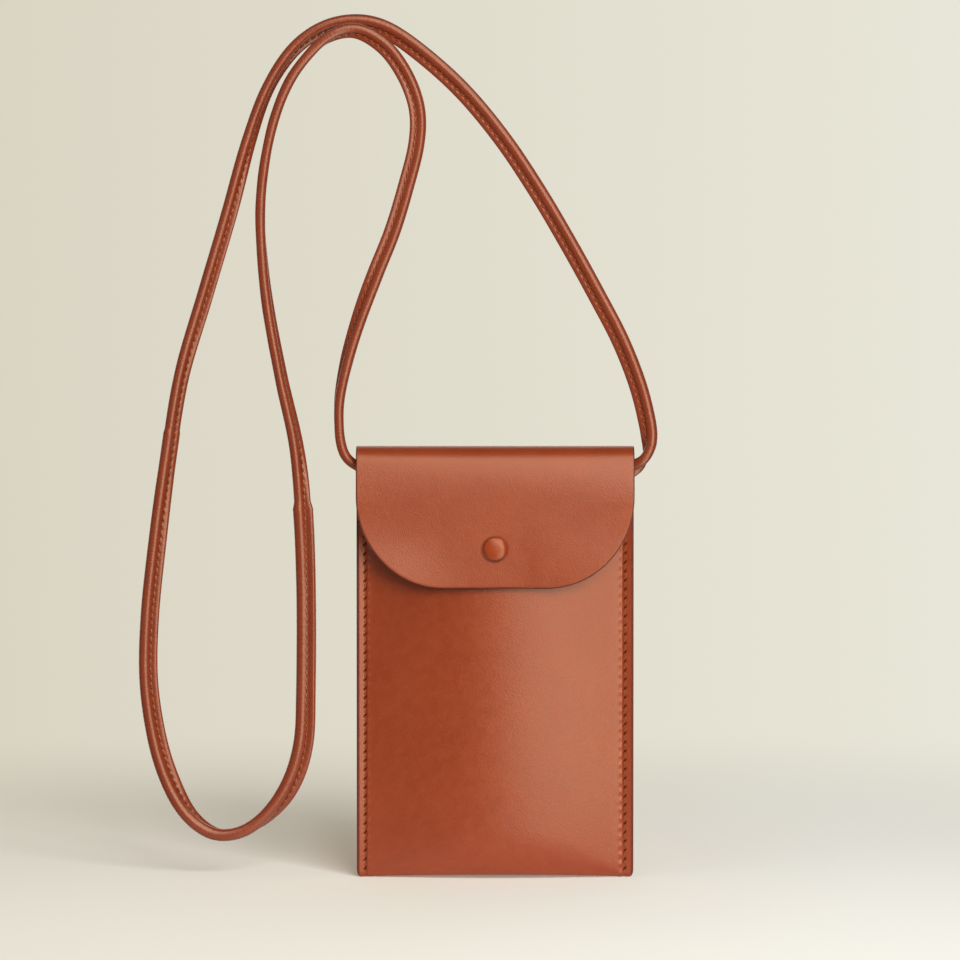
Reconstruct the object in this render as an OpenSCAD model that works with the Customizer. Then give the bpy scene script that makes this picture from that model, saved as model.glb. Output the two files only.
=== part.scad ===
// Leather phone pouch: one hide folded under the pocket and over its mouth, sewn up both sides,
// closed by a flap with a press stud, and carried on a long round strap.
// Millimetres. +X is to the wearer's left when it hangs in front, -Y is the front, +Z is up.
// The origin is on the floor under the middle of the closed pouch.

/* [Pouch] */
// Width of the pouch, edge to edge
pouch_w = 112; // [95:1:135]
// Height of the closed pouch
pouch_h = 175; // [165:1:200]
// Thickness of the hide
leather_t = 1.8; // [1.4:0.1:2.2]
// How far the front stands away from the back, inside, at the middle
pocket_depth = 10; // [8:0.5:13]
// Radius of the bottom corners, seen from the front
corner_r = 2; // [1:0.5:3]
// Height over which the bottom swells out to the full depth
bottom_rise = 24; // [16:1:36]

/* [Seams] */
// From the side edge to the line of stitches
seam_inset = 3.5; // [3:0.1:5]
// From one stitch hole to the next
stitch_pitch = 3.65; // [3:0.05:5]
// Thickness of the sewing thread
thread_d = 0.6; // [0.5:0.05:0.7]
// From the floor to the lowest stitch hole
first_hole_z = 3.6; // [3.2:0.1:6]

/* [Flap] */
// From the top of the pouch down to the flap's lower edge
flap_drop = 57; // [52:1:75]
// Width of the flap's round corners
flap_corner_w = 35; // [20:1:42]
// Height of the flap's round corners
flap_corner_h = 37; // [20:1:40]

/* [Press stud] */
// From the top of the pouch down to the middle of the press stud
snap_drop = 41; // [36:0.5:46]
// Diameter of the cap
cap_d = 9.5; // [8:0.5:12]
// Height of the domed cap above the flap
cap_rise = 1.6; // [1.2:0.1:2.2]
// Space that the closed press stud takes between flap and front
snap_gap = 3.6; // [3.4:0.1:5]
// Widest diameter of the stud's head
stud_head_d = 4.4; // [4:0.1:4.8]
// Diameter of the two hollow shanks
shank_d = 3; // [2.6:0.1:3]

/* [Strap] */
// Width of the strap's flat sewn ends
strap_w = 8; // [7:0.5:8]
// Diameter of the strap taken as a round cord
strap_d = 6.4; // [5:0.2:6.4]
// Thickness of the flat ends, two layers of thin hide
strap_end_t = 3; // [2:0.2:4]
// Length of the flat ends inside the pouch
strap_end_l = 15; // [12:1:22]
// From the pouch's side edge in to where a flat end starts
strap_end_inset = 8; // [6:0.5:12]

/* [Hidden] */
$fn = 64;

// Clearance of a shank in its hole and of a disc in its seat
fit = 0.05;
// Clearance between soft pieces, and between the two halves of the press stud
soft_gap = 0.3;
// Overrun of every cut
over = 1;

// Side view: the seam plane stands between the back and the front, and the whole is centred
depth = leather_t + pocket_depth + leather_t + snap_gap + leather_t + cap_rise;
seam_y = depth / 2 - leather_t;
front_y = seam_y - pocket_depth - leather_t;
flap_back_y = front_y - snap_gap;
flap_front_y = flap_back_y - leather_t;

// The fold over the mouth is a half round from the back panel's top edge to the flap's
fold_r = (seam_y - flap_back_y) / 2;
fold_outer_r = fold_r + leather_t;
fold_y = seam_y - fold_r;
fold_z = pouch_h - fold_outer_r;
mouth_z = fold_z - strap_w - soft_gap;

// The front swells from the seams as an arc of a large cylinder
groove_w = thread_d * 1.5;
groove_share = 0.65;
groove_depth = thread_d * groove_share;
seam_x = pouch_w / 2 - seam_inset;
flange_share = 0.3;
pocket_half_w = seam_x - seam_inset * flange_share;
swell_r = (pocket_half_w * pocket_half_w + pocket_depth * pocket_depth) / (2 * pocket_depth);
swell_fn = 240;

// The bottom is flat over this share of the depth and swells out above it
foot_share = 0.75;
bottom_steps = 10;

// Stitch holes: slanted slits through both layers
slit_l = thread_d * 3;
slit_w = thread_d * 1.7;
slit_angle = 55;
seam_holes = floor((mouth_z - first_hole_z - stitch_pitch / 2) / stitch_pitch) + 1;
end_holes = 4;
end_row_share = 0.28;
end_pitch = strap_end_l / (end_holes + 0.5);
end_hole_x = pouch_w / 2 - strap_end_inset - end_pitch * 0.75;

// Flap outline
flap_top_z = fold_z;
flap_low_z = pouch_h - flap_drop;
corner_steps = 16;

// Press stud
snap_z = pouch_h - snap_drop;
disc_share = 0.9;
disc_r = cap_d / 2 * disc_share;
disc_t = 0.6;
cap_rim = 0.4;
seat_cut = 0.1;
shank_r = shank_d / 2;
roll_t = 0.25;
roll_lip = 0.45;
head_r = stud_head_d / 2;
neck_cut = 0.3;
tip_cut = 0.4;
head_shares = [0.25, 0.5, 0.7];
stud_base_y = front_y + seat_cut;
socket_l = snap_gap + seat_cut - disc_t - soft_gap;
socket_well = socket_l - disc_t;
head_l = socket_well - roll_t;
head_top = 0.3;
wire_r = 0.3;
ring_gap = 0.35;
ring_r = head_r + ring_gap + wire_r;
well_r = ring_r + wire_r / 2;
ring_mouth_deg = 30;
ring_depth_share = 0.42;

// Strap ends: flat tabs inside, sewn to the back panel, with the round strap starting at them
end_x = pouch_w / 2 - strap_end_inset;
end_z = fold_z - strap_w / 2;
end_round = 2;
strap_y = seam_y - strap_d / 2 - fit * 2;

// Route of the strap, from the left end up, over, down its long loop, up again and back
strap_route = [
    [-end_x, strap_y, end_z],
    [-52, 4.4, 164.2], [-56.5, 3.4, 167], [-59.9, 3, 170.1], [-61.9, 2.6, 174.7], [-63, 2.5, 182],
    [-63, 2.5, 193.9], [-59.8, 2, 209.8], [-54.7, 2, 226.7], [-48.2, 1.5, 244.2], [-41.2, 1, 261.7],
    [-35.7, 0.5, 279.8], [-31.7, 0, 295.9], [-31.2, -0.5, 309], [-34.7, -0.5, 320.9],
    [-41.5, -1, 332.1], [-49.3, -1, 338.9], [-57.1, -1, 341.8], [-65.2, -1, 339.7], [-73, -0.5, 334],
    [-82, -0.5, 322.4], [-88.3, 0, 307.3], [-92.3, 0.5, 289.7], [-94.1, 1, 272], [-93.6, 1.5, 254.1],
    [-91.2, 2, 231.1], [-85.9, 2, 202.1], [-79.9, 2, 174.1], [-77.2, 2, 145], [-76.2, 2.5, 112],
    [-76.4, 2.5, 76], [-77.4, 2.5, 54.9], [-82.3, 3, 38.7], [-90.9, 3, 26.4], [-101.7, 3, 19],
    [-113.3, 3.5, 18.4], [-123.4, 3.5, 25.6], [-130.9, 4, 38.5], [-136.5, 4, 56.1], [-139.9, 4, 80],
    [-139.4, 4, 106], [-136.3, 4, 135.9], [-132.1, 4.5, 167.9], [-126.4, 4.5, 202.8],
    [-116.8, 5, 235.7], [-107.3, 5.5, 267.7], [-99.1, 6, 297.6], [-91.5, 6.5, 318.3],
    [-81.5, 7, 333.7], [-70.1, 7, 342.2], [-57.4, 7, 345.2], [-45, 7, 342.8], [-31.3, 6.5, 334],
    [-13.7, 6, 318.4], [2.5, 5.5, 299.1], [16.6, 5.5, 278.2], [29.8, 5, 255.9], [41.7, 4.5, 234.3],
    [50.7, 4, 216.9], [57.5, 4, 199.5], [61.2, 3.5, 185], [62.1, 3, 177], [61.2, 3, 172],
    [59.7, 3, 168.8], [56.6, 3.4, 166.4], [52, 4.4, 164],
    [end_x, strap_y, end_z]
];
ring_spacing = 4.6 * strap_d;
strap_sides = 10;

// One point of a smooth curve through b and c, with a before them and d after
function between(a, b, c, d, t) =
    0.5 * (2 * b + (c - a) * t + (2 * a - 5 * b + 4 * c - d) * t * t
        + (3 * b - a - 3 * c + d) * t * t * t);

// The route with more points on its long spans
function smooth_route(route) = [
    for (i = [0 : len(route) - 2])
        let (
            before = route[max(i - 1, 0)],
            after = route[min(i + 2, len(route) - 1)],
            parts = ceil(norm(route[i + 1] - route[i]) / ring_spacing)
        )
        for (k = [0 : parts - 1]) between(before, route[i], route[i + 1], after, k / parts),
    route[len(route) - 1]
];

function unit(v) = v / norm(v);

// Direction of the strap at ring i: straight along X at both ends, where it meets the flat ends
function heading(line, i) =
    i == 0 || i == len(line) - 1 ? [-1, 0, 0] : unit(line[i + 1] - line[i - 1]);

function ring(centre, along, r, sides) =
    let (side = unit(cross(along, [0, 1, 0])), deep = cross(side, along))
    [for (s = [0 : sides - 1]) centre + r * (cos(360 * s / sides) * side + sin(360 * s / sides) * deep)];

// A tube of round section along a line of points
module tube(line, r, sides) {
    rings = len(line);
    points = [for (i = [0 : rings - 1]) each ring(line[i], heading(line, i), r, sides)];
    skin = [
        for (i = [0 : rings - 2], s = [0 : sides - 1])
            let (a = i * sides + s, b = i * sides + (s + 1) % sides)
            each [[a, a + sides, b], [b, a + sides, b + sides]]
    ];
    ends = [
        [for (s = [0 : sides - 1]) s],
        [for (s = [0 : sides - 1]) rings * sides - 1 - s]
    ];
    polyhedron(points = points, faces = concat(skin, ends), convexity = 6);
}

// Takes a shape drawn in X and Z and gives it thickness from y_front back to y_front + thickness
module upright(y_front, thickness) {
    translate([0, y_front + thickness, 0]) rotate([90, 0, 0]) linear_extrude(thickness) children();
}

// Takes a profile drawn with its radius along X and its height along Y, and turns it about a line
// through the press stud that points to the front
module turned(y_base) {
    translate([0, y_base, snap_z]) rotate([90, 0, 0]) rotate_extrude() children();
}

// Rod along the press stud's line, from y_base towards the front
module rod(y_base, length, r) {
    translate([0, y_base, snap_z]) rotate([90, 0, 0]) cylinder(h = length, r = r);
}

// Draws for the right side and mirrors it for the left; side is -1 on the left and 1 on the right
module on_side(side) {
    if (side < 0) mirror([1, 0, 0]) children();
    else children();
}

// Outline of the panels: square at the top and rounded at the two bottom corners
module panel_outline(top_z) {
    union() {
        translate([-pouch_w / 2, corner_r]) square([pouch_w, top_z - corner_r]);
        translate([-pouch_w / 2 + corner_r, 0]) square([pouch_w - 2 * corner_r, corner_r]);
        for (side = [-1, 1]) translate([side * (pouch_w / 2 - corner_r), corner_r]) circle(r = corner_r);
    }
}

// One slanted stitch hole
module slit() {
    rotate(slit_angle)
        polygon([[-slit_l / 2, 0], [0, slit_w / 2], [slit_l / 2, 0], [0, -slit_w / 2]]);
}

// The holes lean the same way on both sides, as one iron punches them all
module seam_slits() {
    for (side = [-1, 1], i = [0 : seam_holes - 1])
        translate([side * seam_x, first_hole_z + i * stitch_pitch]) slit();
}

// Two rows of holes through the right flat end of the strap
module end_slits() {
    for (row = [-1, 1], i = [0 : end_holes - 1])
        translate([end_hole_x - i * end_pitch, end_z + row * strap_w * end_row_share]) slit();
}

// Grooves that the seam stitches lie in
module seam_grooves() {
    groove_h = (seam_holes - 1) * stitch_pitch + slit_l;
    for (side = [-1, 1])
        translate([side * seam_x - groove_w / 2, first_hole_z - slit_l / 2]) square([groove_w, groove_h]);
}

// The same for the stitches of the right flat end; cut into both the flat end and the back panel
module end_grooves() {
    groove_l = (end_holes - 1) * end_pitch + slit_l;
    for (row = [-1, 1])
        translate([
            end_hole_x + slit_l / 2 - groove_l,
            end_z + row * strap_w * end_row_share - groove_w / 2
        ]) square([groove_l, groove_w]);
}

// A row of stitches: short bars on both faces, joined by legs through the holes. It is drawn with
// the row along X and the layers' total thickness along Y, and is as deep as the thread
module stitch_row(holes, pitch, thickness) {
    bar_l = pitch - thread_d / 2;
    translate([0, 0, -thread_d / 2]) linear_extrude(thread_d) union() {
        for (i = [0 : holes - 1])
            translate([i * pitch - thread_d / 2, groove_depth / 2])
                square([thread_d, thickness - groove_depth]);
        for (i = [0 : holes - 2], y = [0, thickness - groove_depth])
            translate([(i + 0.5) * pitch - bar_l / 2, y]) square([bar_l, groove_depth]);
    }
}

module seam_thread() {
    translate([seam_x, seam_y - leather_t, first_hole_z])
        rotate([0, -90, 0]) stitch_row(seam_holes, stitch_pitch, 2 * leather_t);
}

// Two rows of stitches that hold the right flat end of the strap to the back panel
module end_thread() {
    for (row = [-1, 1])
        translate([
            end_hole_x - (end_holes - 1) * end_pitch,
            seam_y - strap_end_t,
            end_z + row * strap_w * end_row_share
        ])
            stitch_row(end_holes, end_pitch, strap_end_t + leather_t);
}

// Plan of the front, seen from above: a flat flange at each side and the swell between
module front_plan(wall) {
    union() {
        translate([-pouch_w / 2, seam_y - wall]) square([pouch_w, wall]);
        swell_plan(wall);
    }
}

module swell_plan(wall) {
    intersection() {
        translate([0, seam_y - pocket_depth + swell_r]) circle(r = swell_r + wall, $fn = swell_fn);
        translate([-pocket_half_w, seam_y - pocket_depth - wall])
            square([2 * pocket_half_w, pocket_depth + wall]);
    }
}

// Side view of the swell's front: flat on the floor, then a quarter ellipse up to the full depth
module swell_side(wall) {
    foot = wall + pocket_depth * foot_share;
    bulge = pocket_depth * (1 - foot_share);
    lift = leather_t - wall;
    rise = bottom_rise - lift;
    curve = [
        for (i = [0 : bottom_steps])
            let (a = 90 * i / bottom_steps)
            [-foot - bulge * sin(a), lift + rise * (1 - cos(a))]
    ];
    translate([-pouch_w / 2 - over, seam_y, 0]) rotate([90, 0, 90])
        linear_extrude(pouch_w + 2 * over)
            polygon(concat(
                [[over, pouch_h], [over, lift], [0, lift]],
                curve,
                [[-wall - pocket_depth, pouch_h]]
            ));
}

module back_panel() {
    color("#9C4B31") difference() {
        upright(seam_y, leather_t) difference() {
            panel_outline(fold_z);
            seam_slits();
            for (side = [-1, 1]) on_side(side) end_slits();
        }
        upright(seam_y + leather_t - groove_depth, groove_depth + over) {
            seam_grooves();
            for (side = [-1, 1]) on_side(side) end_grooves();
        }
    }
}

module front_panel() {
    color("#B05A3C") difference() {
        intersection() {
            linear_extrude(mouth_z) front_plan(leather_t);
            swell_side(leather_t);
            upright(seam_y - depth, depth) panel_outline(mouth_z);
        }
        intersection() {
            translate([0, 0, leather_t]) linear_extrude(pouch_h) swell_plan(0);
            swell_side(0);
        }
        upright(seam_y - leather_t - over, leather_t + 2 * over) seam_slits();
        upright(seam_y - leather_t - over, over + groove_depth) seam_grooves();
        rod(stud_base_y, over, disc_r + fit);
        rod(front_y + leather_t + over, over, disc_r + fit);
        rod(seam_y, pocket_depth + leather_t + over, shank_r + fit);
    }
}

module flap_fold() {
    color("#BA5F3B") translate([-pouch_w / 2, fold_y, fold_z]) rotate([90, 0, 90])
        linear_extrude(pouch_w) intersection() {
            difference() {
                circle(r = fold_outer_r);
                circle(r = fold_r);
            }
            translate([-fold_outer_r - over, 0]) square([2 * (fold_outer_r + over), fold_outer_r + over]);
        }
}

function flap_corner(side) = [
    for (i = [0 : corner_steps])
        let (a = 90 * i / corner_steps)
        [
            side * (pouch_w / 2 - flap_corner_w * (1 - cos(a))),
            flap_low_z + flap_corner_h * (1 - sin(a))
        ]
];

module flap() {
    left = flap_corner(-1);
    right = flap_corner(1);
    color("#B05A3C") difference() {
        upright(flap_front_y, leather_t) polygon(concat(
            [[-pouch_w / 2, flap_top_z]],
            left,
            [for (i = [corner_steps : -1 : 0]) right[i]],
            [[pouch_w / 2, flap_top_z]]
        ));
        rod(flap_back_y + over, leather_t + 2 * over, shank_r + fit);
    }
}

module left_seam_thread() { color("#7E3A26") on_side(-1) seam_thread(); }

module right_seam_thread() { color("#7E3A26") on_side(1) seam_thread(); }

// Domed cap outside the flap, with a shank through it that is rolled over inside the socket
module snap_cap() {
    dome = cap_rise - cap_rim;
    dome_r = (cap_d * cap_d / 4 + dome * dome) / (2 * dome);
    shank_l = leather_t + disc_t + roll_t;
    color("#A84B27") union() {
        turned(flap_front_y) intersection() {
            translate([0, cap_rise - dome_r]) circle(r = dome_r, $fn = swell_fn);
            square([cap_d / 2, cap_rise]);
        }
        rod(flap_back_y + disc_t + roll_t, shank_l, shank_r);
        rod(flap_back_y + disc_t + roll_t, roll_t, shank_r + roll_lip);
    }
}

// Cup under the flap that grips the stud; its well has a groove for the spring ring
module snap_socket() {
    groove_r = ring_r + wire_r + fit;
    ring_y = flap_back_y + socket_l - head_l * ring_depth_share;
    color("#B08D57") difference() {
        rod(flap_back_y + socket_l, socket_l, disc_r);
        rod(flap_back_y + socket_l + over, socket_well + over, well_r);
        rod(flap_back_y + socket_l, socket_l + over, shank_r + fit);
        rod(ring_y + wire_r + fit, 2 * (wire_r + fit), groove_r);
    }
}

// Open ring of wire that snaps over the stud's head
module snap_spring() {
    ring_y = flap_back_y + socket_l - head_l * ring_depth_share;
    color("#C9CBCD") translate([0, ring_y, snap_z]) rotate([90, 0, 0])
        rotate_extrude(angle = 360 - ring_mouth_deg) translate([ring_r, 0]) circle(r = wire_r, $fn = 24);
}

// Stud on the front: a disc seated in the leather and a hollow head
module snap_stud() {
    color("#B08D57") difference() {
        turned(stud_base_y) polygon([
            [0, 0], [disc_r, 0], [disc_r, disc_t], [head_r - neck_cut, disc_t],
            [head_r - neck_cut, disc_t + head_l * head_shares[0]],
            [head_r, disc_t + head_l * head_shares[1]],
            [head_r, disc_t + head_l * head_shares[2]],
            [head_r - tip_cut, disc_t + head_l], [0, disc_t + head_l]
        ]);
        rod(stud_base_y + over, over + disc_t + head_l - head_top, shank_r + fit);
    }
}

// Flat post inside the pocket, its shank through the front and up into the stud
module snap_post() {
    post_y = front_y + leather_t;
    shank_l = post_y - stud_base_y + disc_t + head_l - head_top - fit;
    color("#B08D57") union() {
        rod(post_y + disc_t, disc_t, disc_r);
        rod(post_y, shank_l, shank_r);
    }
}

// Flat right end of the strap, against the back panel's inner face
module strap_end() {
    inner_x = end_x - strap_end_l;
    difference() {
        upright(seam_y - strap_end_t, strap_end_t) difference() {
            union() {
                translate([inner_x + end_round, end_z - strap_w / 2])
                    square([strap_end_l - end_round, strap_w]);
                translate([inner_x, end_z - strap_w / 2 + end_round])
                    square([end_round, strap_w - 2 * end_round]);
                for (up = [-1, 1])
                    translate([inner_x + end_round, end_z + up * (strap_w / 2 - end_round)])
                        circle(r = end_round);
            }
            end_slits();
        }
        upright(seam_y - strap_end_t - over, over + groove_depth) end_grooves();
    }
}

module left_strap_end() { color("#A2522F") on_side(-1) strap_end(); }

module right_strap_end() { color("#A2522F") on_side(1) strap_end(); }

module left_end_thread() { color("#7E3A26") on_side(-1) end_thread(); }

module right_end_thread() { color("#7E3A26") on_side(1) end_thread(); }

module strap() {
    line = smooth_route(strap_route);
    color("#A2522F") tube(line, strap_d / 2, strap_sides);
}

back_panel();
front_panel();
flap_fold();
flap();
left_seam_thread();
right_seam_thread();
snap_cap();
snap_socket();
snap_spring();
snap_stud();
snap_post();
left_strap_end();
right_strap_end();
left_end_thread();
right_end_thread();
strap();
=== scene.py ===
import math

import bmesh
import bpy
import numpy as np
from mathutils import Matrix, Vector
from mathutils.kdtree import KDTree


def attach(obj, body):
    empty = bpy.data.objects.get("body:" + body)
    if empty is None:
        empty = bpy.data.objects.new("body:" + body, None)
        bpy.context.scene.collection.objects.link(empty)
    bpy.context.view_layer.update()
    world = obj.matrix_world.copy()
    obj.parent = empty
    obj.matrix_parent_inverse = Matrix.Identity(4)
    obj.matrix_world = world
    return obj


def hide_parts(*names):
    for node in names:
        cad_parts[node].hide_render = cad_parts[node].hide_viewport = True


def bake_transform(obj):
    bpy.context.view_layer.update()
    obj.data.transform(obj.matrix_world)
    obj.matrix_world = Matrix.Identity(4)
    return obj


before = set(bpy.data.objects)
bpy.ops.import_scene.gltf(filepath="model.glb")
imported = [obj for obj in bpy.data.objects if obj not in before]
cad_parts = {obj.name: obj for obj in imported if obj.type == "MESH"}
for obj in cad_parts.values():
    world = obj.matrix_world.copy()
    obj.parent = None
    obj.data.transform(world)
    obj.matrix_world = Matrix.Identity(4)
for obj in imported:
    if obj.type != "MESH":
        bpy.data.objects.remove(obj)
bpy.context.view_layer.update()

# A slim tan leather phone pouch with a round strap. Lengths below are millimetres; meshes are made in metres.
mm = 0.001


def linear(hexText):
    parts = [int(hexText[i:i + 2], 16) / 255 for i in (1, 3, 5)]
    return [p / 12.92 if p <= 0.04045 else ((p + 0.055) / 1.055) ** 2.4 for p in parts] + [1.0]


def addNode(tree, kind, inputs=None, **settings):
    # an input is a value, the hex text of a colour, a socket, or a node, which stands for its first output
    node = tree.nodes.new(kind)
    for name, value in settings.items():
        setattr(node, name, value)
    for socket, value in (inputs or {}).items():
        value = value.outputs[0] if isinstance(value, bpy.types.Node) else value
        if isinstance(value, bpy.types.NodeSocket):
            tree.links.new(value, node.inputs[socket])
        else:
            node.inputs[socket].default_value = linear(value) if str(value)[0] == "#" else value
    return node


def newMaterial(name):
    material = bpy.data.materials.new(name)
    material.use_nodes = True
    material.node_tree.nodes.clear()
    return material, material.node_tree


def addObject(name, data, *materials):
    thing = bpy.data.objects.new(name, data)
    bpy.context.scene.collection.objects.link(thing)
    for material in materials:
        data.materials.append(material)
    return thing


def smooth(t):
    t = np.clip(t, 0, 1)
    return t * t * (3 - 2 * t)


def hump(t, width):
    return np.exp(-(t / width) ** 2)


# Camera
cameraSetup = {
    "distance": 2500,  # mm to the middle of the pouch
    "elevation": 2.75,  # degrees above the horizon
    "target": (-6.1, 0, 161.3),
    "frameWidth": 386.5,  # mm across the picture at the pouch
}


def makeCamera(look):
    data = bpy.data.cameras.new("studioCamera")
    camera = addObject("studioCamera", data)
    lift = math.radians(look["elevation"])
    x, y, z = look["target"]
    away = look["distance"]
    camera.location = [v * mm for v in (x, y - away * math.cos(lift), z + away * math.sin(lift))]
    camera.rotation_euler = (math.pi / 2 - lift, 0, 0)
    data.sensor_width = 36
    data.lens = 36 * away / look["frameWidth"]
    data.clip_start, data.clip_end = 0.05, 50
    bpy.context.scene.camera = camera


makeCamera(cameraSetup)
print("camera is set")


# Materials
grainLook = {
    "deep": "#9A3B18",
    "mid": "#A4441E",
    "warm": "#AE4E28",
    "rubbed": "#73301F",  # darker where the cut edge was burnished
    "scuff": "#C27A58",
    # painted shade inside the stitch holes and in a ring round the snap cap
    "hole": "#43190F",
    "cloud": 30,  # mm; the sizes of what the grain is made up of
    "crease": 4.5,
    "pore": 0.55,  # real pores are about 0.3, drawn coarser so that they show
    "fine": 0.45,
    "burnish": 1.4,  # from the cut edge inwards
}


# Full-grain vegetable-tanned calf with an aniline finish: a soft semi-gloss, fine pores and cloudy tone
def grainLeather(look):
    material, tree = newMaterial("aniline calf grain")
    place = addNode(tree, "ShaderNodeUVMap", uv_map="UVMap")
    edge, hole = (addNode(tree, "ShaderNodeAttribute", attribute_name=name).outputs["Fac"]
                  for name in ("edgeGap", "holeShade"))
    cloud = addNode(tree, "ShaderNodeTexNoise", {"Vector": place, "Scale": 1000 / look["cloud"], "Detail": 4.0})
    crease = addNode(tree, "ShaderNodeTexNoise", {
        "Vector": place, "Scale": 1000 / look["crease"], "Detail": 5.0, "Roughness": 0.62, "Distortion": 0.5,
    })
    pore = addNode(tree, "ShaderNodeTexVoronoi", {
        "Vector": place, "Scale": 1000 / look["pore"], "Smoothness": 0.4,
    }, feature="SMOOTH_F1")
    fine = addNode(tree, "ShaderNodeTexNoise", {"Vector": place, "Scale": 1000 / look["fine"], "Detail": 2.0})
    # a few faint short scratches from handling
    turned = addNode(tree, "ShaderNodeMapping", {
        "Vector": place, "Rotation": (0, 0, math.radians(112)), "Scale": (1 / 50, 1 / 1900, 1),
    }, vector_type="TEXTURE")
    scuff = addNode(tree, "ShaderNodeTexNoise", {"Vector": turned, "Scale": 1.0, "Detail": 0.0})
    # each tone comes over the ones before it by the share that a pattern gives it
    tone = look["deep"]
    for pattern, low, high, start, end, over in (
        (cloud, 0.3, 0.7, 0.0, 1.0, "mid"),
        (crease, 0.4, 0.75, 0.0, 0.34, "warm"),
        (pore, 0.05, 0.6, 0.16, 0.0, "rubbed"),
        (edge, 0.0, look["burnish"], 0.5, 0.0, "rubbed"),
        (scuff, 0.8, 0.86, 0.0, 0.22, "scuff"),
        (hole, 0.0, 1.0, 0.0, 1.0, "hole"),
    ):
        share = addNode(tree, "ShaderNodeMapRange", {
            "Value": pattern, "From Min": low, "From Max": high, "To Min": start, "To Max": end,
        })
        tone = addNode(tree, "ShaderNodeMix", {0: share, 6: tone, 7: look[over]}, data_type="RGBA").outputs[2]
    bump = None
    for pattern, strength, depth in ((cloud, 0.2, 0.4), (crease, 0.22, 0.2), (pore, 0.38, 0.09), (fine, 0.34, 0.08)):
        bump = addNode(tree, "ShaderNodeBump", {
            "Height": pattern, "Strength": strength, "Distance": depth * mm, **({"Normal": bump} if bump else {}),
        })
    shine = addNode(tree, "ShaderNodeMapRange", {
        "Value": crease, "From Min": 0.3, "From Max": 0.7, "To Min": 0.31, "To Max": 0.38,
    })
    # the painted shade also takes the gloss away inside the stitch holes and in the ring round the cap
    gloss = addNode(tree, "ShaderNodeMath", {0: 1.0, 1: hole}, operation="SUBTRACT")
    shader = addNode(tree, "ShaderNodeBsdfPrincipled", {
        "Base Color": tone, "Roughness": shine, "Specular IOR Level": gloss, "Normal": bump,
    })
    addNode(tree, "ShaderNodeOutputMaterial", {"Surface": shader})
    return material


fleshLook = {"light": "#BC8A62", "dark": "#A06C46", "nap": 0.7, "patch": 16}


# The flesh side of the same hide, shaved and left unfinished: pale, matt and slightly furry
def fleshLeather(look):
    material, tree = newMaterial("shaved flesh side")
    place = addNode(tree, "ShaderNodeUVMap", uv_map="UVMap")
    drawn = addNode(tree, "ShaderNodeMapping", {"Vector": place, "Scale": (1.0, 2.2, 1.0)})
    nap = addNode(tree, "ShaderNodeTexNoise", {
        "Vector": drawn, "Scale": 1000 / look["nap"], "Detail": 4.0, "Roughness": 0.7,
    })
    patch = addNode(tree, "ShaderNodeTexNoise", {"Vector": place, "Scale": 1000 / look["patch"], "Detail": 3.0})
    both = addNode(tree, "ShaderNodeMath", {0: nap, 1: patch}, operation="MULTIPLY")
    share = addNode(tree, "ShaderNodeMapRange", {"Value": both, "From Min": 0.12, "From Max": 0.4})
    tone = addNode(tree, "ShaderNodeMix", {0: share, 6: look["dark"], 7: look["light"]}, data_type="RGBA")
    bump = addNode(tree, "ShaderNodeBump", {"Height": nap, "Strength": 0.6, "Distance": 0.18 * mm})
    shader = addNode(tree, "ShaderNodeBsdfPrincipled", {
        "Base Color": tone.outputs[2], "Roughness": 0.92, "Normal": bump, "Sheen Weight": 0.25,
        "Sheen Roughness": 0.5,
    })
    addNode(tree, "ShaderNodeOutputMaterial", {"Surface": shader})
    return material


edgeLook = {"paint": "#74362C", "worn": "#874639", "ripple": 2.2}


# Cut edges sealed with several coats of acrylic edge paint: dark, even and slightly rubbery
def edgePaint(look):
    material, tree = newMaterial("acrylic edge paint")
    place = addNode(tree, "ShaderNodeTexCoord").outputs["Object"]
    ripple = addNode(tree, "ShaderNodeTexNoise", {"Vector": place, "Scale": 1000 / look["ripple"], "Detail": 3.0})
    share = addNode(tree, "ShaderNodeMapRange", {"Value": ripple, "From Min": 0.45, "From Max": 0.75, "To Max": 0.5})
    tone = addNode(tree, "ShaderNodeMix", {0: share, 6: look["paint"], 7: look["worn"]}, data_type="RGBA")
    bump = addNode(tree, "ShaderNodeBump", {"Height": ripple, "Strength": 0.35, "Distance": 0.12 * mm})
    shader = addNode(tree, "ShaderNodeBsdfPrincipled", {
        "Base Color": tone.outputs[2], "Roughness": 0.4, "Specular IOR Level": 0.25, "Normal": bump,
    })
    addNode(tree, "ShaderNodeOutputMaterial", {"Surface": shader})
    return material


strapGrain = {
    "deep": "#8E391E",
    "mid": "#A0472A",
    # painted shade, for the dips of the wrinkles
    "dip": "#6E2C1C",
    "cloud": 18,
    "wrinkleAlong": 1.1,
    "wrinkleAround": 4.5,
    "pore": 0.7,
}


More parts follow.
